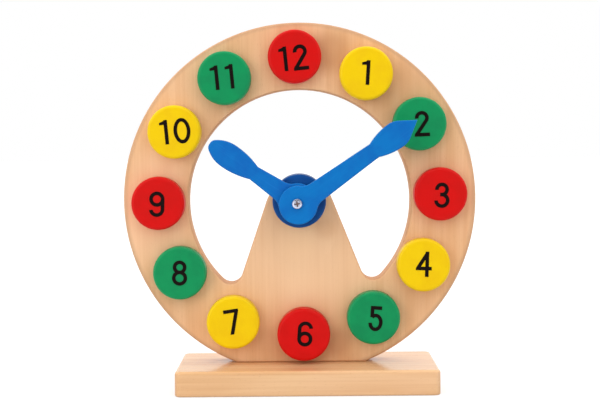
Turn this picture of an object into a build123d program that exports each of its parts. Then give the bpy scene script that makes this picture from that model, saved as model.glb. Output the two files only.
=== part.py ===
from build123d import *
import math
import os

# Wooden learning clock. Millimetres, +Z up, the face looks along -Y.
# The origin is the middle of the base board's underside.

# Base board
base_wide = 147.0
base_deep = 60.0
base_thick = 14.0
base_corner = 3.5  # radius of the four upright corners
base_ease = 1.8  # rounding of the top edges
base_foot_ease = 1.0  # rounding of the bottom edges

# Dial board: a ring and the pillar inside it, cut from one board that stands on edge
dial_radius = 100.0
window_radius = 63.3
window_down = 0.8  # the window's middle lies this far below the board's
dial_thick = 14.0
dial_ease = 1.2
foot_cut = 6.95  # height of the round that is cut off, so that the board stands flat
dial_setback = 27.6  # from the base's front edge back to the dial's front face
dial_left = 3.6  # the dial stands this far left of the base's middle
pillar_half_angle = 20.33  # degrees from the middle line to each flank
pillar_head_radius = 20.0
pillar_head_drop = 8.25  # the middle of the pillar's round head, below the pattern's middle
window_corner = 6.9  # rounding where the flanks meet the window

# The pegs' pattern and the pillar were laid out together, a little off the dial's middle
dial_skew = 1.44  # degrees, anticlockwise as the face is seen
pattern_left = 0.2
pattern_up = 0.97

# Number discs
disc_radius = 15.0
disc_thick = 8.8
disc_rim = 1.8  # rounding of the front rim
disc_back_ease = 0.6
disc_inset = 2.15  # the discs' circle is this much inside the middle of the ring
low_disc_gap = 2.0  # the lowest disc clears the base board by this much
disc_gap = 0.25  # running gap between a disc's back and the dial

# Pegs, on which the discs turn
peg_radius = 4.0
peg_in_disc = 6.0
peg_in_dial = 10.0
peg_ease = 0.6
peg_clear = 0.08  # radial clearance of a peg in its hole
peg_end_gap = 0.4

# Printed numerals
digit_high = 14.2
digit_wide = 8.5
zero_wide = 9.4
one_high = 13.6
one_flag = 3.5  # the 1 reaches this far left of its stem's middle
four_reach = 4.6  # the 4 reaches this far left of its middle
five_wide = 8.0
five_bowl_high = 9.9
digit_step = 8.4  # from one digit's middle to the next
pen = 2.0
ink_thick = 0.15

# Hub: spacer, washers, hands and the bolt through them
hand_axis_left = 1.3  # the bolt's axis, from the dial's middle
hand_axis_down = 0.5
spacer_radius = 14.8
spacer_long = 20.0
spacer_right = 1.1  # the spacer's middle, from the bolt's axis
spacer_up = 0.8
spacer_ease = 1.2
hub_washer_radius = 6.0
hub_washer_thick = 0.8
play = 0.25  # gap on each side of a hand
hand_thick = 4.0
hand_ease = 0.7
hub_radius = 10.6
hub_blend = 8.0  # rounding between a hub and its shank

minute_long = 79.4
minute_root = 6.15  # half widths, from the hub out to the point
minute_neck = 4.35
minute_belly = 7.3
minute_shoulder = 5.7
minute_aside = 1.0  # the hand's middle line passes the bolt's axis on the clockwise side
minute_angle = 54.85  # degrees clockwise from straight up

hour_long = 57.9
hour_root = 6.45
hour_neck = 4.1
hour_belly = 7.0
hour_aside = 0.3  # as on the minute hand
hour_angle = -55.5

bolt_radius = 1.5
bolt_clear = 0.05  # radial clearance of what turns on or sits on the bolt
bolt_end = 2.5  # what stands out behind the nut
bolt_end_ease = 0.35
bolt_head_radius = 2.8
bolt_head_high = 2.0
bolt_head_round = 1.0
cross_long = 3.2
cross_wide = 0.7
cross_deep = 1.1
cross_angle = 8.0
nut_flats = 5.5
nut_thick = 2.4
nut_slope = 60.0  # degrees, from the axis to the nut's turned corners
rear_washer_radius = 4.5
rear_washer_thick = 0.8

# Two wood screws hold the dial board from under the base
screw_radius = 2.0
screw_head_radius = 4.0
screw_head_high = 2.4
screw_sink = 0.6  # the heads sit this far up from the underside
screw_bite = 18.0  # length of screw in the dial board
screw_point = 4.0
screw_spread = 40.0
screw_clear = 0.05
recess_long = 4.0
recess_wide = 0.9
recess_deep = 1.2

# Where each hand's outline changes, as shares of its length
minute_neck_share = 0.64
minute_belly_share = 0.82
minute_shoulder_share = 0.89
hour_neck_share = 0.50
hour_belly_share = 0.78
hour_cheek_shares = (0.90, 0.82)  # along the hand, and of the belly's half width
hour_nose_shares = (0.97, 0.50)

# Numerals as printed: clockwise tilt in degrees, then shares of the disc's radius
# that they stand to the right of and above its middle
print_tilt = {1: 3.5, 2: -2, 3: 1, 4: 2, 5: 4, 6: 4, 7: -8, 8: 1, 9: 2, 10: -5, 11: -5, 12: -5.5}
print_shares = {
    1: (0.06, 0.02), 2: (0.07, 0.0), 3: (0.03, -0.04), 4: (0.01, 0.045),
    5: (0.07, -0.01), 6: (0.05, 0.04), 7: (-0.025, 0.045), 8: (0.01, 0.015),
    9: (-0.03, -0.02), 10: (0.0, 0.02), 11: (0.015, 0.035), 12: (-0.06, -0.06),
}

# Places that follow from the sizes
numbers = range(1, 13)
dial_rise = dial_radius - foot_cut
dial_front = dial_setback - base_deep / 2
dial_plane = Plane(
    origin=(-dial_left, dial_front, base_thick + dial_rise), x_dir=(1, 0, 0), z_dir=(0, -1, 0)
)
pattern = Location((-pattern_left, pattern_up, 0), (0, 0, dial_skew))
pattern_plane = Plane(dial_plane.location * pattern)
hand_plane = Plane(dial_plane.location * Location((-hand_axis_left, -hand_axis_down, 0)))
spacer_plane = Plane(hand_plane.location * Location((spacer_right, spacer_up, 0)))

mid_ring = (dial_radius + window_radius) / 2
disc_circle = mid_ring - disc_inset
low_circle = dial_rise + pattern_up - disc_radius - low_disc_gap
disc_front = disc_gap + disc_thick

hour_back = spacer_long + hub_washer_thick + play
minute_washer_back = hour_back + hand_thick + play
minute_back = minute_washer_back + hub_washer_thick + play
bolt_seat = minute_back + hand_thick + play
bolt_tail = dial_thick + rear_washer_thick + nut_thick + bolt_end
bolt_bore = bolt_radius + bolt_clear


def spot(number):
    """Where a disc's middle lies in the pattern, right and up."""
    reach = low_circle if number == 6 else disc_circle
    turn = math.radians(number * 360 / len(numbers))
    return reach * math.sin(turn), reach * math.cos(turn)


def peg_place(number, ahead=0.0):
    """A disc's own plane: on its peg's axis, ahead of the dial's front face."""
    right, up = spot(number)
    return Plane(pattern_plane.location * Location((right, up, ahead)))


os.makedirs("parts", exist_ok=True)


def save(piece, node):
    piece.part.label = node
    export_step(piece.part, f"parts/{node}.step")


# Base board, with the two screw holes sunk from below
screw_plane = Plane(
    origin=(-dial_left, dial_front + dial_thick / 2, 0), x_dir=(1, 0, 0), z_dir=(0, 0, -1)
)
screw_seat = Plane(screw_plane.location * Location((0, 0, -screw_sink)))

with BuildPart() as base_board:
    with BuildSketch() as footprint:
        Rectangle(base_wide, base_deep)
        fillet(footprint.vertices(), base_corner)
    extrude(amount=base_thick)
    fillet(base_board.faces().sort_by(Axis.Z)[-1].edges(), base_ease)
    fillet(base_board.faces().sort_by(Axis.Z)[0].edges(), base_foot_ease)
    with Locations(screw_plane.location):
        with GridLocations(screw_spread, 0, 2, 1):
            Hole(screw_head_radius + screw_clear, depth=screw_sink)
    with Locations(screw_seat.location):
        with GridLocations(screw_spread, 0, 2, 1):
            Cone(
                bottom_radius=screw_radius + screw_clear,
                top_radius=screw_head_radius + screw_clear,
                height=screw_head_high,
                align=(Align.CENTER, Align.CENTER, Align.MAX),
                mode=Mode.SUBTRACT,
            )
            Hole(screw_radius + screw_clear, depth=base_thick)
save(base_board, "base_board")

with BuildPart() as base_screws:
    with Locations(screw_seat.location):
        with GridLocations(screw_spread, 0, 2, 1):
            Cone(
                bottom_radius=screw_radius,
                top_radius=screw_head_radius,
                height=screw_head_high,
                align=(Align.CENTER, Align.CENTER, Align.MAX),
            )
            Cylinder(
                screw_radius,
                base_thick - screw_sink + screw_bite - screw_point,
                align=(Align.CENTER, Align.CENTER, Align.MAX),
            )
            with Locations((0, 0, screw_sink + screw_point - base_thick - screw_bite)):
                Cone(
                    bottom_radius=screw_radius / 4,
                    top_radius=screw_radius,
                    height=screw_point,
                    align=(Align.CENTER, Align.CENTER, Align.MAX),
                )
            for long, wide in ((recess_long, recess_wide), (recess_wide, recess_long)):
                Box(
                    long,
                    wide,
                    recess_deep,
                    align=(Align.CENTER, Align.CENTER, Align.MAX),
                    mode=Mode.SUBTRACT,
                )
save(base_screws, "base_screws")

# Dial board: the pillar is drawn upright, its flanks run on into the middle of the ring,
# and it is turned with the pattern
half_angle = math.radians(pillar_half_angle)
apex_up = pillar_head_radius / math.sin(half_angle) - pillar_head_drop
apex_aside = apex_up * math.sin(half_angle)
flank_long = apex_up * math.cos(half_angle) + math.sqrt(mid_ring**2 - apex_aside**2)
touch_right = pillar_head_radius * math.cos(half_angle)
touch_up = pillar_head_radius * math.sin(half_angle) - pillar_head_drop
foot_right = flank_long * math.sin(half_angle)
foot_up = apex_up - flank_long * math.cos(half_angle)

with BuildSketch() as pillar:
    with BuildLine():
        Line((-touch_right, touch_up), (-foot_right, foot_up))
        ThreePointArc((-foot_right, foot_up), (0, -mid_ring), (foot_right, foot_up))
        Line((foot_right, foot_up), (touch_right, touch_up))
        ThreePointArc(
            (touch_right, touch_up),
            (0, pillar_head_radius - pillar_head_drop),
            (-touch_right, touch_up),
        )
    make_face()

with BuildPart() as dial_plate:
    with BuildSketch(dial_plane) as outline:
        Circle(dial_radius)
        with Locations((0, -window_down)):
            Circle(window_radius, mode=Mode.SUBTRACT)
        with Locations((-pattern_left, pattern_up)):
            add(pillar.sketch, rotation=dial_skew)
        with Locations((0, -dial_rise)):
            Rectangle(
                2 * dial_radius,
                dial_radius,
                align=(Align.CENTER, Align.MAX),
                mode=Mode.SUBTRACT,
            )
        fillet(outline.vertices().sort_by(Axis.Y)[2:4], window_corner)
    extrude(amount=-dial_thick)
    for side in (0, -1):
        fillet(dial_plate.faces().filter_by(Axis.Y).sort_by(Axis.Y)[side].edges(), dial_ease)
    with Locations(*[peg_place(number).location for number in numbers]):
        Hole(peg_radius + peg_clear, depth=peg_in_dial + peg_end_gap)
    with Locations(hand_plane.location):
        Hole(bolt_bore, depth=dial_thick)
    with Locations(screw_plane.location):
        with GridLocations(screw_spread, 0, 2, 1):
            Hole(screw_radius + screw_clear, depth=base_thick + screw_bite + screw_clear)
save(dial_plate, "dial_plate")


# Digits, each drawn with the pen's width in a box of its own
half_wide = (digit_wide - pen) / 2
half_high = (digit_high - pen) / 2
small_bowl = half_high - half_wide
low_middle = half_wide - half_high
high_middle = half_high - small_bowl
waist = high_middle - small_bowl


def digit_0():
    with BuildSketch() as digit:
        with Locations(((zero_wide - digit_wide) / 2, 0)):
            Ellipse(zero_wide / 2, digit_high / 2)
            Ellipse(zero_wide / 2 - pen, digit_high / 2 - pen, mode=Mode.SUBTRACT)
    return digit.sketch


def digit_1():
    top = one_high / 2
    with BuildSketch() as digit:
        Rectangle(pen, one_high)
        with BuildLine():
            Polyline(
                (0, top),
                (-pen / 2, top - pen / 4),
                (-one_flag, top - pen * 2 / 3),
                (-one_flag, top - pen * 4 / 3),
                (0, top - pen * 5 / 4),
                close=True,
            )
        make_face()
    return digit.sketch


def digit_2():
    with BuildSketch() as digit:
        with BuildLine():
            bowl = CenterArc((0, high_middle), small_bowl, 185, -221)
            Line(bowl @ 1, (-half_wide, -half_high))
            Line((-half_wide, -half_high), (digit_wide / 2, -half_high))
        trace(line_width=pen)
        Rectangle(digit_wide, digit_high, mode=Mode.INTERSECT)
    return digit.sketch


def digit_3():
    with BuildSketch() as digit:
        with BuildLine():
            CenterArc((0, high_middle), small_bowl, 185, -275)
        trace(line_width=pen)
        with BuildLine():
            CenterArc((0, low_middle), half_wide, 90, -268)
        trace(line_width=pen)
        with BuildLine():
            Line((-pen / 2, waist), (pen / 2, waist))
        trace(line_width=pen)
    return digit.sketch


def digit_4():
    stem = half_wide / 2
    bar = -half_high * 2 / 5
    corner = (pen / 2 - four_reach, bar)
    with BuildSketch() as digit:
        with BuildLine():
            Line((stem, half_high), corner)
            Line(corner, (digit_wide / 2, bar))
        trace(line_width=pen)
        with Locations((-four_reach, 0)):
            Rectangle(
                four_reach + digit_wide,
                digit_high,
                align=(Align.MIN, Align.CENTER),
                mode=Mode.INTERSECT,
            )
        with BuildLine():
            Line((stem, -digit_high / 2), (stem, digit_high / 2))
        trace(line_width=pen)
    return digit.sketch


def digit_5():
    bowl_aside = (five_wide - pen) / 2
    bowl_rise = (five_bowl_high - pen) / 2
    with BuildSketch() as digit:
        with BuildLine():
            bowl = EllipticalCenterArc(
                (0, bowl_rise - half_high), bowl_aside, bowl_rise, start_angle=-175, arc_size=309
            )
        trace(line_width=pen)
        with BuildLine():
            Line(bowl @ 1, ((bowl @ 1).X, half_high))
            Line(((bowl @ 1).X, half_high), (half_wide, half_high))
        trace(line_width=pen)
    return digit.sketch


def digit_6():
    with BuildSketch() as digit:
        with BuildLine():
            hook = CenterArc((0, -low_middle), half_wide, 8, 172)
            Line(hook @ 1, (-half_wide, low_middle))
        trace(line_width=pen)
        with Locations((0, low_middle)):
            Circle(half_wide + pen / 2)
            Circle(half_wide - pen / 2, mode=Mode.SUBTRACT)
    return digit.sketch


def digit_7():
    with BuildSketch() as digit:
        with BuildLine():
            Line((-digit_wide / 2, half_high), (half_wide, half_high))
            Line((half_wide, half_high), (-half_wide, -digit_high))
        trace(line_width=pen)
        Rectangle(digit_wide, digit_high, mode=Mode.INTERSECT)
    return digit.sketch


def digit_8():
    bowls = ((high_middle, small_bowl), (low_middle, half_wide))
    with BuildSketch() as digit:
        for middle, bowl in bowls:
            with Locations((0, middle)):
                Circle(bowl + pen / 2)
        for middle, bowl in bowls:
            with Locations((0, middle)):
                Circle(bowl - pen / 2, mode=Mode.SUBTRACT)
    return digit.sketch


def digit_9():
    with BuildSketch() as digit:
        add(digit_6(), rotation=180)
    return digit.sketch


digits = (digit_0, digit_1, digit_2, digit_3, digit_4, digit_5, digit_6, digit_7, digit_8, digit_9)


def numeral_sketch(number):
    """The number's digits side by side, about their common middle."""
    shown = [int(character) for character in str(number)]
    middle = (len(shown) - 1) / 2
    with BuildSketch() as numeral:
        for place, digit in enumerate(shown):
            with Locations(((place - middle) * digit_step, 0)):
                add(digits[digit]())
    return numeral.sketch


# Twelve pegs, discs and printed numerals
for number in numbers:
    with BuildPart() as peg:
        with BuildSketch(peg_place(number, -peg_in_dial)):
            Circle(peg_radius)
        extrude(amount=peg_in_dial + disc_gap + peg_in_disc)
        chamfer(peg.edges().filter_by(GeomType.CIRCLE), peg_ease)
    save(peg, f"peg_{number}")

    with BuildPart() as disc:
        with BuildSketch(peg_place(number, disc_gap)):
            Circle(disc_radius)
        extrude(amount=disc_thick)
        fillet(disc.faces().sort_by(Axis.Y)[0].edges(), disc_rim)
        fillet(disc.faces().sort_by(Axis.Y)[-1].edges(), disc_back_ease)
        with BuildSketch(peg_place(number, disc_gap)):
            Circle(peg_radius + peg_clear)
        extrude(amount=peg_in_disc + peg_end_gap, mode=Mode.SUBTRACT)
    save(disc, f"disc_{number}")

    right_share, up_share = print_shares[number]
    print_place = Location(
        (right_share * disc_radius, up_share * disc_radius, disc_front),
        (0, 0, -print_tilt[number] - dial_skew),
    )
    with BuildPart() as numeral:
        with BuildSketch(Plane(peg_place(number).location * print_place)):
            add(numeral_sketch(number))
        extrude(amount=ink_thick)
    save(numeral, f"numeral_{number}")

# Hub spacer: a thick round, bored off its own middle
with BuildPart() as hub_spacer:
    with BuildSketch(spacer_plane):
        Circle(spacer_radius)
    extrude(amount=spacer_long)
    fillet(hub_spacer.faces().sort_by(Axis.Y)[0].edges(), spacer_ease)
    with Locations(hand_plane.offset(spacer_long).location):
        Hole(bolt_bore, depth=spacer_long)
save(hub_spacer, "hub_spacer")

for node, back in (("hour_washer", spacer_long), ("minute_washer", minute_washer_back)):
    with BuildPart() as washer:
        with BuildSketch(hand_plane.offset(back)):
            Circle(hub_washer_radius)
            Circle(bolt_bore, mode=Mode.SUBTRACT)
        extrude(amount=hub_washer_thick)
    save(washer, node)


def shank_plane(ahead, clockwise, aside):
    """A hand's plane: X is the hand's middle line, beside the bolt's axis."""
    turned = Plane(hand_plane.location * Location((0, 0, ahead), (0, 0, 90 - clockwise)))
    return Plane(turned.location * Location((0, -aside, 0)))


def hub_corners(sketch):
    """The two points where the shank's edges run into the round hub."""
    return sketch.vertices().filter_by_position(Axis.X, 0, hub_radius, (False, False))


# Minute hand: a slim shank, a leaf-shaped blade and a sharp point
neck = minute_long * minute_neck_share
belly = minute_long * minute_belly_share
shoulder = minute_long * minute_shoulder_share
with BuildPart() as minute_hand:
    with BuildSketch(shank_plane(minute_back, minute_angle, minute_aside)) as blade:
        with BuildLine() as edge:
            Line((0, 0), (0, minute_root))
            Line((0, minute_root), (neck, minute_neck))
            TangentArc((belly, minute_belly), (neck, minute_neck), tangent=(-1, 0))
            TangentArc((belly, minute_belly), (shoulder, minute_shoulder), tangent=(1, 0))
            Line((shoulder, minute_shoulder), (minute_long, 0))
            mirror(edge.line, about=Plane.XZ)
        make_face()
        Circle(hub_radius)
        fillet(hub_corners(blade), hub_blend)
    extrude(amount=hand_thick)
    for side in (0, -1):
        fillet(minute_hand.faces().filter_by(Axis.Y).sort_by(Axis.Y)[side].edges(), hand_ease)
    with Locations(hand_plane.offset(minute_back + hand_thick).location):
        Hole(bolt_bore, depth=hand_thick)
save(minute_hand, "minute_hand")

# Hour hand: the same kind of shank, with a shorter blade and a rounded nose
neck = hour_long * hour_neck_share
belly = hour_long * hour_belly_share
cheek = (hour_long * hour_cheek_shares[0], hour_belly * hour_cheek_shares[1])
nose = (hour_long * hour_nose_shares[0], hour_belly * hour_nose_shares[1])
with BuildPart() as hour_hand:
    with BuildSketch(shank_plane(hour_back, hour_angle, hour_aside)) as blade:
        with BuildLine() as edge:
            Line((0, 0), (0, hour_root))
            Line((0, hour_root), (neck, hour_neck))
            TangentArc((belly, hour_belly), (neck, hour_neck), tangent=(-1, 0))
            Spline((belly, hour_belly), cheek, nose, (hour_long, 0), tangents=((1, 0), (0, -1)))
            mirror(edge.line, about=Plane.XZ)
        make_face()
        Circle(hub_radius)
        fillet(hub_corners(blade), hub_blend)
    extrude(amount=hand_thick)
    for side in (0, -1):
        fillet(hour_hand.faces().filter_by(Axis.Y).sort_by(Axis.Y)[side].edges(), hand_ease)
    with Locations(hand_plane.offset(hour_back + hand_thick).location):
        Hole(bolt_bore, depth=hand_thick)
save(hour_hand, "hour_hand")

# Bolt with a cross recess in its pan head, and its washer and nut behind the dial
with BuildPart() as hand_bolt:
    with BuildSketch(hand_plane.offset(bolt_seat)):
        Circle(bolt_head_radius)
    extrude(amount=bolt_head_high)
    fillet(hand_bolt.faces().sort_by(Axis.Y)[0].edges(), bolt_head_round)
    with BuildSketch(hand_plane.offset(bolt_seat + bolt_head_high)):
        for turn in (0, 90):
            Rectangle(cross_long, cross_wide, rotation=cross_angle + turn)
    extrude(amount=-cross_deep, mode=Mode.SUBTRACT)
    with BuildSketch(hand_plane.offset(bolt_seat)):
        Circle(bolt_radius)
    extrude(amount=-bolt_seat - bolt_tail)
    chamfer(hand_bolt.faces().sort_by(Axis.Y)[-1].edges(), bolt_end_ease)
save(hand_bolt, "hand_bolt")

with BuildPart() as rear_washer:
    with BuildSketch(hand_plane.offset(-dial_thick)):
        Circle(rear_washer_radius)
        Circle(bolt_bore, mode=Mode.SUBTRACT)
    extrude(amount=-rear_washer_thick)
save(rear_washer, "rear_washer")

nut_back = hand_plane.offset(-dial_thick - rear_washer_thick - nut_thick)
with BuildPart() as rear_nut:
    with BuildSketch(nut_back):
        RegularPolygon(nut_flats / 2, 6, major_radius=False)
    extrude(amount=nut_thick)
    with BuildSketch(nut_back):
        Circle(nut_flats / 2)
    extrude(amount=nut_thick, taper=-nut_slope, mode=Mode.INTERSECT)
    with Locations(nut_back.offset(nut_thick).location):
        Hole(bolt_bore, depth=nut_thick)
save(rear_nut, "rear_nut")
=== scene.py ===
"""Looks of the wooden learning clock, in metres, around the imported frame.

+Z is up, the dial faces -Y, and the origin is the middle of the base board's underside. All
the visible shapes are the CAD's. Object coordinates on them are the same as world ones.
"""
import math

import bpy
from mathutils import Matrix, Vector

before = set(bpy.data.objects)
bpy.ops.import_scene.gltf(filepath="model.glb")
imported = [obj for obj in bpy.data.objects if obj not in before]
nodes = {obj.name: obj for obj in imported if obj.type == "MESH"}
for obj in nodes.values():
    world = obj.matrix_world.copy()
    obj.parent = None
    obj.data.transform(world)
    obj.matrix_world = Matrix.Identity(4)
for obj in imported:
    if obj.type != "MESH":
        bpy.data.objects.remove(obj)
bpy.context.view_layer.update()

MM = 0.001
numbers = range(1, 13)


def tone(red, green, blue):
    """A colour picked as sRGB bytes, as linear RGBA."""
    linear = []
    for value in (red, green, blue):
        share = value / 255
        linear.append(share / 12.92 if share < 0.04045 else ((share + 0.055) / 1.055) ** 2.4)
    return (*linear, 1.0)


# The camera, as fitted to the photograph: 600 x 415 pixels, 1200 pixels of focal length
camera_place = Vector((-2.3, -683.0, 144.4)) * MM
camera_lens = 72.0
camera_sensor = 36.0
camera_down = 0.06127  # radians, and so are the next two
camera_left = 0.00167
camera_roll = -0.00842

# Lamps: a soft key from the left, a little above the dial, and a weak one from the right
key_place = Vector((-2.0, -2.5, 0.66))
key_power = 30.0
side_place = Vector((1.9, -2.9, 1.0))
side_power = 12.0
lamp_size = 2.3
lamp_target = Vector((0.0, 0.0, 0.10))

# Sky: brighter overhead and behind, white where it is seen, dim in reflections of the front
white = (1.0, 1.0, 1.0, 1.0)
sky_low_strength = 0.32
sky_high_strength = 1.78
backlight_strength = 0.42
backlight_from, backlight_full = 0.0, 0.8  # share of +Y in the direction, as in the next two
gloss_front, gloss_back = -0.7, 0.1
front_gloss_strength = 0.10
backdrop_strength = 1.0

# Floor: pale matt paper
floor_half = 6.0
floor_colour = (0.55, 0.55, 0.55, 1.0)
floor_lift = 0.45

# Figure of the wood: length along the grain and width across it
fibre_length, fibre_width = 0.060, 0.0011
band_length, band_width = 0.120, 0.006875
fleck_length, fleck_width = 0.0028, 0.00030
patch_size = 0.045
ring_stretch = 0.12  # how fast the rings change along the grain, against across it
wave_gap = 0.314  # between the rings of a wave texture of scale 1
ring_tint, ring_share = tone(198, 136, 84), 0.13
fibre_tint, fibre_share = tone(205, 142, 96), 0.22
fleck_tint, fleck_share = tone(170, 104, 62), 0.30
patch_tint, patch_share = tone(242, 194, 156), 0.20
end_tint, end_share = tone(198, 140, 92), 0.45
rim_tint, rim_share = tone(186, 130, 90), 0.38
fibre_depth = 0.06 * MM
fleck_depth = 0.04 * MM

# Painted light and shade on the dial's front, soft lighter areas where light falls and darker
# ones where shadows fall: right, up and reach in mm, share, tint
dial_painted_light = (
    (0, 72, 46, 0.55, tone(250, 208, 166)),  # pillar
    (-1, 22, 42, 0.42, tone(206, 150, 102)),  # foot
    (-54, 54, 22, 0.22, tone(246, 198, 148)),  # ring between discs 7 and 8
    (-88, 92, 34, 0.50, tone(254, 204, 162)),  # between 8 and 9
    (-81, 127, 18, 0.40, tone(254, 212, 170)),  # between 9 and 10
    (54, 168, 26, 0.40, tone(200, 146, 96)),  # between 1 and 2
    (58, 50, 24, 0.30, tone(208, 156, 112)),  # between 4 and 5
    (14, 191, 17, 0.62, tone(190, 133, 85)),  # between 12 and 1
    (17, 25, 12, 0.45, tone(177, 120, 77)),  # between 5 and 6
    (-22, 25, 12, 0.22, tone(177, 120, 77)),  # between 6 and 7
    (-5, 85, 16, 0.40, tone(252, 206, 158)),  # below the spacer
    (11, 91, 9, 0.25, tone(214, 150, 96)),  # right of that
)
painted_light_core = 0.3  # share of its reach over which an area is even
# Painted shade along its outer edge: middle right and up, inside and outside radius in mm
dial_edge_shade = (-3.6, 107.05, 96.8, 99.8, 0.6, tone(190, 146, 110))

# Paint on turned and sawn wood
paint_sockets = {"IOR": 1.45, "Specular_IOR_Level": 0.15}
peel_size, peel_depth, peel_strength = 0.9 * MM, 0.03 * MM, 0.30
disc_gloss = 0.38  # roughness, and so is the next one
brush_gloss = 0.36
gloss_less, gloss_more = 0.05, 0.08
disc_streak_size, disc_streak_stretch, disc_streak_depth = 0.5 * MM, 0.08, 0.03 * MM
disc_patch_size = 9 * MM
disc_rim_from, disc_rim_full = 0.44, 0.495  # distance from the middle, of the disc's width
brush_length, brush_width, brush_depth = 0.030, 0.0008, 0.04 * MM
brush_patch_size = 11 * MM
minute_turn = math.radians(35)
hour_turn = math.radians(-34)

# Ink and zinc
ink_grain_size, ink_depth = 0.35 * MM, 0.02 * MM
scratch_size, scratch_stretch, scratch_depth = 0.12 * MM, 0.06, 0.015 * MM
stain_size = 1.4 * MM

# The bolt's own places, for the painted shade in and round its recess and the thread behind the
# nut
bolt_axis = Vector((-4.9, 0.0, 106.55)) * MM
head_front = -35.0 * MM
recess_from, recess_full = 0.05 * MM, 0.5 * MM  # depth below the head's front
head_under_from, head_under_full = 1.2 * MM, 1.6 * MM
recess_reach = 1.6 * MM
shade_smear_share = 0.45
recess_shade_tint = tone(122, 96, 92)
nut_rear = 14.8 * MM
thread_pitch = 0.5 * MM
thread_fade = 0.1 * MM
thread_depth = 0.5 * MM


class Nodes:
    """A node tree, to which it adds nodes. A value may be a number or another's output."""

    def __init__(self, tree):
        self.tree = tree

    def feed(self, socket, value):
        if isinstance(value, bpy.types.NodeSocket):
            self.tree.links.new(value, socket)
        else:
            socket.default_value = value

    def add(self, kind, settings=None, **inputs):
        node = self.tree.nodes.new("ShaderNode" + kind)
        for name, value in (settings or {}).items():
            setattr(node, name, value)
        for name, value in inputs.items():
            self.feed(node.inputs[name], value)
        return node

    def place(self, kind="Object"):
        return self.add("TexCoord").outputs[kind]

    def split(self, vector):
        return self.add("SeparateXYZ", Vector=vector).outputs

    def maths(self, operation, first, second=0.0):
        node = self.add("Math", {"operation": operation})
        self.feed(node.inputs[0], first)
        self.feed(node.inputs[1], second)
        return node.outputs[0]

    def span(self, value, low, high, to_low=0.0, to_high=1.0):
        """Maps low..high of a value to to_low..to_high, clamped and smooth."""
        node = self.add("MapRange", {"interpolation_type": "SMOOTHSTEP"}, Value=value)
        for index, number in enumerate((low, high, to_low, to_high), start=1):
            node.inputs[index].default_value = number
        return node.outputs["Result"]

    def choice(self, factor, first, second):
        """The first number where the factor is 0 and the second where it is 1."""
        node = self.add("Mix", {"data_type": "FLOAT"}, Factor=factor)
        self.feed(node.inputs[2], first)
        self.feed(node.inputs[3], second)
        return node.outputs[0]

    def seen(self):
        """1 for camera, glossy and transmission rays, 0 for the rest."""
        path = self.add("LightPath").outputs
        shiny = self.maths("MAXIMUM", path["Is Glossy Ray"], path["Is Transmission Ray"])
        return self.maths("MAXIMUM", path["Is Camera Ray"], shiny)


class Surface(Nodes):
    """A material and its shader."""

    def __init__(self, name, **sockets):
        self.material = bpy.data.materials.new(name)
        self.material.use_nodes = True
        super().__init__(self.material.node_tree)
        self.shader = self.tree.nodes["Principled BSDF"]
        for socket, value in sockets.items():
            self.shader.inputs[socket.replace("_", " ")].default_value = value

    def moved(self, vector, location=(0, 0, 0), rotation=(0, 0, 0), scale=(1, 1, 1)):
        node = self.add(
            "Mapping", Vector=vector, Location=location, Rotation=rotation, Scale=scale
        )
        return node.outputs["Vector"]

    def from_axis(self, vector, right, up):
        """Distance from the line along Y through right and up."""
        flat = self.moved(vector, location=(-right, 0, -up), scale=(1, 0, 1))
        return self.add("VectorMath", {"operation": "LENGTH"}, Vector=flat).outputs["Value"]

    def noise(self, vector, size, detail, roughness=0.5):
        """Noise from 0 to 1, in patches about size across."""
        node = self.add(
            "TexNoise", Vector=vector, Scale=1 / size, Detail=detail, Roughness=roughness
        )
        return node.outputs[0]

    def mix(self, factor, first, second):
        node = self.add("Mix", {"data_type": "RGBA"})
        self.feed(node.inputs["Factor"], factor)
        self.feed(node.inputs[6], first)
        self.feed(node.inputs[7], second)
        return node.outputs[2]

    def paint(self, colour, roughness=None):
        self.feed(self.shader.inputs["Base Color"], colour)
        if roughness is not None:
            self.feed(self.shader.inputs["Roughness"], roughness)

    def emboss(self, height, depth, strength):
        """Bump from a 0..1 height that is depth deep; calls add up."""
        under = self.shader.inputs["Normal"].links
        bump = self.add("Bump", Height=height, Distance=depth, Strength=strength)
        if under:
            self.feed(bump.inputs["Normal"], under[0].from_socket)
        self.feed(self.shader.inputs["Normal"], bump.outputs["Normal"])


def dress(material, *names):
    for name in names:
        slots = nodes[name].data.materials
        slots.clear()
        slots.append(material)


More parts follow.
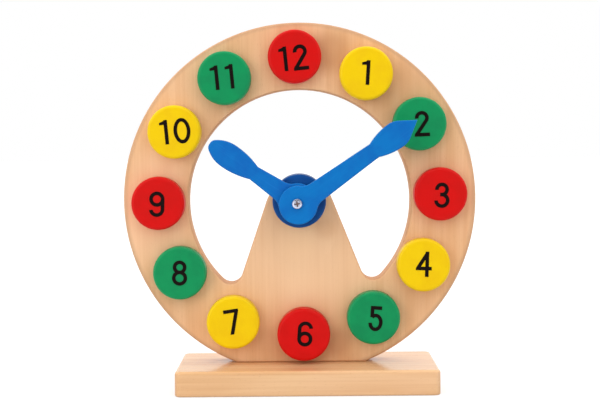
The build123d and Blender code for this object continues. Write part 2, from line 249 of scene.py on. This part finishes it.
def wood(
    name, grain, pith, pale, deep, ring_gap, gloss, shine, painted_light_areas=(), edge_shade=None, dull_rim=0.0
):
    """Wood with its grain along one axis and its rings round a far pith.

    A face across the grain is darker. Painted light and shade in soft areas, and painted shade
    along the outer edge, tint the front, and with dull_rim the faces round the board are darker
    and that much rougher.
    """
    board = Surface(name, IOR=1.5, Specular_IOR_Level=shine)
    spot = board.place()
    facing = board.split(board.place("Normal"))

    def grained(length, width):
        scale = tuple(1 / (length if axis == grain else width) for axis in "XYZ")
        return board.moved(spot, scale=scale)

    band = board.noise(grained(band_length, band_width), 1.0, 2.0)
    slow = tuple(ring_stretch if axis == grain else 1.0 for axis in "XYZ")
    ring = board.add(
        "TexWave",
        {"wave_type": "RINGS", "rings_direction": grain, "wave_profile": "SAW"},
        Vector=board.moved(spot, location=tuple(-place for place in pith), scale=slow),
        Scale=wave_gap / ring_gap,
        Distortion=3.2,
        Detail=2.0,
        **{"Detail Scale": 0.35, "Detail Roughness": 0.6},
    ).outputs["Fac"]
    fibre = board.noise(grained(fibre_length, fibre_width), 1.0, 4.0, 0.65)
    fleck = board.span(board.noise(grained(fleck_length, fleck_width), 1.0, 1.0), 0.66, 0.74)
    patch = board.noise(spot, patch_size, 2.0)

    colour = board.mix(board.span(band, 0.30, 0.72), pale, deep)
    colour = board.mix(board.maths("MULTIPLY", ring, ring_share), colour, ring_tint)
    colour = board.mix(board.span(fibre, 0.35, 0.75, 0.0, fibre_share), colour, fibre_tint)
    colour = board.mix(board.maths("MULTIPLY", fleck, fleck_share), colour, fleck_tint)
    colour = board.mix(board.span(patch, 0.4, 0.7, 0.0, patch_share), colour, patch_tint)
    rough = board.span(fibre, 0.3, 0.8, gloss - 0.04, gloss + 0.10)

    if painted_light_areas:
        front = board.span(facing["Y"], -0.95, -0.30, 1.0, 0.0)
    # Painted light and shade: each area lightens the front where light falls or darkens it
    # where a shadow falls
    for right, up, reach, most, tint in painted_light_areas:
        away = board.from_axis(spot, right * MM, up * MM)
        share = board.span(away, painted_light_core * reach * MM, reach * MM, most, 0.0)
        colour = board.mix(board.maths("MULTIPLY", share, front), colour, tint)
    if edge_shade or dull_rim:
        rim = board.span(board.maths("ABSOLUTE", facing["Y"]), 0.55, 0.98, 1.0, 0.0)
    # Painted shade on the flat faces along the outer edge
    if edge_shade:
        right, up, inside, outside, most, tint = edge_shade
        away = board.from_axis(spot, right * MM, up * MM)
        share = board.span(away, inside * MM, outside * MM, 0.0, most)
        flat = board.maths("SUBTRACT", 1.0, rim)
        colour = board.mix(board.maths("MULTIPLY", share, flat), colour, tint)
    end = board.span(board.maths("ABSOLUTE", facing[grain]), 0.45, 0.95)
    colour = board.mix(board.maths("MULTIPLY", end, end_share), colour, end_tint)
    if dull_rim:
        rough = board.maths("ADD", rough, board.maths("MULTIPLY", rim, dull_rim))
        colour = board.mix(board.maths("MULTIPLY", rim, rim_share), colour, rim_tint)

    board.paint(colour, rough)
    board.emboss(fibre, fibre_depth, 0.35)
    board.emboss(fleck, -fleck_depth, 0.30)
    return board.material


def disc_paint(name, body, thin, shade):
    """Satin paint: orange peel, a little grain under it, a thinner coat on the rim."""
    coat = Surface(name, **paint_sockets)
    spot = coat.place()
    reach = coat.from_axis(coat.place("Generated"), 0.5, 0.5)
    peel = coat.noise(spot, peel_size, 2.0)
    streak = coat.noise(
        coat.moved(spot, scale=(1, 1, disc_streak_stretch)), disc_streak_size, 3.0, 0.6
    )
    patch = coat.noise(spot, disc_patch_size, 2.0)
    worn = coat.maths(
        "MULTIPLY",
        coat.span(reach, disc_rim_from, disc_rim_full),
        coat.span(streak, 0.45, 0.75, 0.15, 0.55),
    )
    colour = coat.mix(coat.span(patch, 0.35, 0.7, 0.0, 0.5), body, shade)
    colour = coat.mix(coat.span(streak, 0.5, 0.8, 0.0, 0.25), colour, shade)
    colour = coat.mix(worn, colour, thin)
    rough = coat.span(patch, 0.3, 0.7, disc_gloss - gloss_less, disc_gloss + gloss_more)
    coat.paint(colour, rough)
    coat.emboss(peel, peel_depth, peel_strength)
    coat.emboss(streak, disc_streak_depth, 0.25)
    return coat.material


def brushed_paint(name, body, light, shade, turn=0.0):
    """Paint on a flat wooden hand, brushed along it, over faint grain."""
    coat = Surface(name, **paint_sockets)
    turned = coat.moved(coat.place(), rotation=(0, turn, 0))
    brushed = coat.moved(turned, scale=(1 / brush_length, 1 / brush_width, 1 / brush_width))
    streak = coat.noise(brushed, 1.0, 4.0, 0.6)
    peel = coat.noise(turned, peel_size, 2.0)
    patch = coat.noise(turned, brush_patch_size, 2.0)
    colour = coat.mix(coat.span(patch, 0.35, 0.7), body, shade)
    colour = coat.mix(coat.span(streak, 0.5, 0.8, 0.0, 0.35), colour, light)
    rough = coat.span(streak, 0.3, 0.7, brush_gloss - gloss_less, brush_gloss + gloss_more)
    coat.paint(colour, rough)
    coat.emboss(peel, peel_depth, peel_strength)
    coat.emboss(streak, brush_depth, 0.30)
    return coat.material


def zinc(name, bright, dull):
    """Bright zinc with fine scratches and stains. Also gives its colour, to add to."""
    metal = Surface(name, Metallic=1.0)
    spot = metal.place()
    scratch = metal.noise(
        metal.moved(spot, scale=(1, scratch_stretch, 1)), scratch_size, 3.0, 0.7
    )
    stain = metal.noise(spot, stain_size, 3.0)
    colour = metal.mix(metal.span(stain, 0.4, 0.75), bright, dull)
    metal.paint(colour, metal.span(scratch, 0.3, 0.75, 0.18, 0.38))
    metal.emboss(scratch, scratch_depth, 0.4)
    return metal, colour


dress(
    wood(
        "base_wood", "X", (0.0, 0.09, 0.17), tone(240, 197, 148), tone(228, 178, 126),
        ring_gap=3.2 * MM, gloss=0.14, shine=0.5,
    ),
    "base_board",
)
dress(
    wood(
        "dial_wood", "Z", (0.03, 0.26, 0.0), tone(240, 194, 148), tone(230, 178, 130),
        ring_gap=3.6 * MM, gloss=0.45, shine=0.32,
        painted_light_areas=dial_painted_light, edge_shade=dial_edge_shade, dull_rim=0.22,
    ),
    "dial_plate",
)
dress(
    wood(
        "peg_wood", "Y", (0.12, 0.0, 0.05), tone(240, 204, 160), tone(224, 178, 130),
        ring_gap=2.4 * MM, gloss=0.60, shine=0.3,
    ),
    *[f"peg_{number}" for number in numbers],
)

disc_paints = (
    disc_paint("paint_red", tone(212, 10, 8), tone(226, 50, 42), tone(196, 12, 6)),
    disc_paint("paint_yellow", tone(240, 201, 0), tone(247, 216, 60), tone(232, 186, 0)),
    disc_paint("paint_green", tone(14, 145, 86), tone(70, 172, 112), tone(12, 126, 78)),
)
for number in numbers:
    dress(disc_paints[number % len(disc_paints)], f"disc_{number}")

minute_colours = (tone(2, 114, 191), tone(24, 132, 206), tone(4, 103, 184))
dress(brushed_paint("paint_blue_minute", *minute_colours, minute_turn), "minute_hand")
hour_colours = (tone(4, 110, 189), tone(26, 126, 202), tone(6, 98, 182))
dress(brushed_paint("paint_blue_hour", *hour_colours, hour_turn), "hour_hand")
# The spacer's blue is darkened to navy: painted shade for the shadow of the hands over it
hub_shaded_blue = (tone(10, 76, 144), tone(24, 90, 160), tone(4, 62, 126))
dress(brushed_paint("paint_navy", *hub_shaded_blue), "hub_spacer")

# Screen-printed numerals
ink = Surface("black_ink", IOR=1.4, Specular_IOR_Level=0.12)
ink_grain = ink.noise(ink.place(), ink_grain_size, 3.0)
ink.paint(
    ink.mix(ink.span(ink_grain, 0.4, 0.75), tone(14, 5, 4), tone(30, 14, 12)),
    ink.span(ink_grain, 0.3, 0.7, 0.42, 0.58),
)
ink.emboss(ink_grain, ink_depth, 0.3)
dress(ink.material, *[f"numeral_{number}" for number in numbers])

steel, _ = zinc("zinc_steel", tone(172, 172, 178), tone(132, 128, 130))
dress(
    steel.material,
    "base_screws", "hour_washer", "minute_washer", "rear_washer", "rear_nut",
)

# The bolt has painted shade in its recess and over the middle of its head, and a thread on the
# tail behind the nut
bolt, bolt_colour = zinc("zinc_bolt", tone(208, 213, 232), tone(170, 170, 186))
bolt_reach = bolt.from_axis(bolt.place(), bolt_axis.x, bolt_axis.z)
bolt_spot = bolt.split(bolt.moved(bolt.place(), location=-bolt_axis))
sunk = bolt.maths(
    "MULTIPLY",
    bolt.span(bolt_spot["Y"], head_front + recess_from, head_front + recess_full),
    bolt.span(bolt_reach, recess_reach, 1.2 * recess_reach, 1.0, 0.0),
)
shade_smear = bolt.span(bolt_reach, 0.3 * recess_reach, 1.1 * recess_reach, shade_smear_share, 0.0)
in_head = bolt.span(
    bolt_spot["Y"], head_front + head_under_from, head_front + head_under_full, 1.0, 0.0
)
# Painted shade: the recess and the middle of the head are darkened
recess_shade = bolt.maths("MULTIPLY", bolt.maths("MAXIMUM", sunk, shade_smear), in_head)
bolt.paint(bolt.mix(recess_shade, bolt_colour, recess_shade_tint))
turns = bolt.maths("DIVIDE", bolt.maths("ARCTAN2", bolt_spot["X"], bolt_spot["Z"]), 2 * math.pi)
wind = bolt.maths("ADD", bolt.maths("DIVIDE", bolt_spot["Y"], thread_pitch), turns)
groove = bolt.maths("PINGPONG", wind, 0.5)
tail = bolt.span(bolt_spot["Y"], nut_rear - thread_fade, nut_rear)
bolt.emboss(bolt.maths("MULTIPLY", groove, tail), thread_depth, 1.0)
dress(bolt.material, "hand_bolt")

scene = bpy.context.scene
scene.view_settings.view_transform = "Standard"

# The floor is lifted to white for the camera and for reflections
paper = Surface(
    "floor_paper", Base_Color=floor_colour, Roughness=0.9, Specular_IOR_Level=0.1,
    Emission_Color=white,
)
lift = paper.maths("MULTIPLY", paper.seen(), floor_lift)
paper.feed(paper.shader.inputs["Emission Strength"], lift)
floor_mesh = bpy.data.meshes.new("floor")
floor_corners = [
    (right * floor_half, back * floor_half, 0)
    for right, back in ((-1, -1), (1, -1), (1, 1), (-1, 1))
]
floor_mesh.from_pydata(floor_corners, [], [(0, 1, 2, 3)])
floor_mesh.materials.append(paper.material)
floor = bpy.data.objects.new("floor", floor_mesh)
scene.collection.objects.link(floor)

world = bpy.data.worlds.new("studio")
scene.world = world
world.use_nodes = True
sky = Nodes(world.node_tree)
background = sky.tree.nodes["Background"]
background.inputs["Color"].default_value = white
way = sky.split(sky.place("Generated"))
fill = sky.span(way["Z"], 0.0, 1.0, sky_low_strength, sky_high_strength)
backlight = sky.span(way["Y"], backlight_from, backlight_full, 0.0, backlight_strength)
mirrored = sky.span(
    way["Y"], gloss_front, gloss_back, front_gloss_strength, backdrop_strength
)
strength = sky.choice(sky.seen(), sky.maths("ADD", fill, backlight), backdrop_strength)
glossy_ray = sky.add("LightPath").outputs["Is Glossy Ray"]
strength = sky.choice(glossy_ray, strength, mirrored)
sky.feed(background.inputs["Strength"], strength)

for name, place, power in (("key", key_place, key_power), ("side", side_place, side_power)):
    light = bpy.data.lights.new(name, "AREA")
    light.shape = "DISK"
    light.size = lamp_size
    light.energy = power
    lamp = bpy.data.objects.new(name, light)
    lamp.location = place
    lamp.rotation_euler = (lamp_target - place).to_track_quat("-Z", "Y").to_euler()
    scene.collection.objects.link(lamp)

camera_data = bpy.data.cameras.new("camera")
camera_data.sensor_fit = "HORIZONTAL"
camera_data.sensor_width = camera_sensor
camera_data.lens = camera_lens
camera = bpy.data.objects.new("camera", camera_data)
scene.collection.objects.link(camera)
camera.matrix_world = (
    Matrix.Translation(camera_place)
    @ Matrix.Rotation(camera_left, 4, "Z")
    @ Matrix.Rotation(math.pi / 2 - camera_down, 4, "X")
    @ Matrix.Rotation(camera_roll, 4, "Z")
)
scene.camera = camera
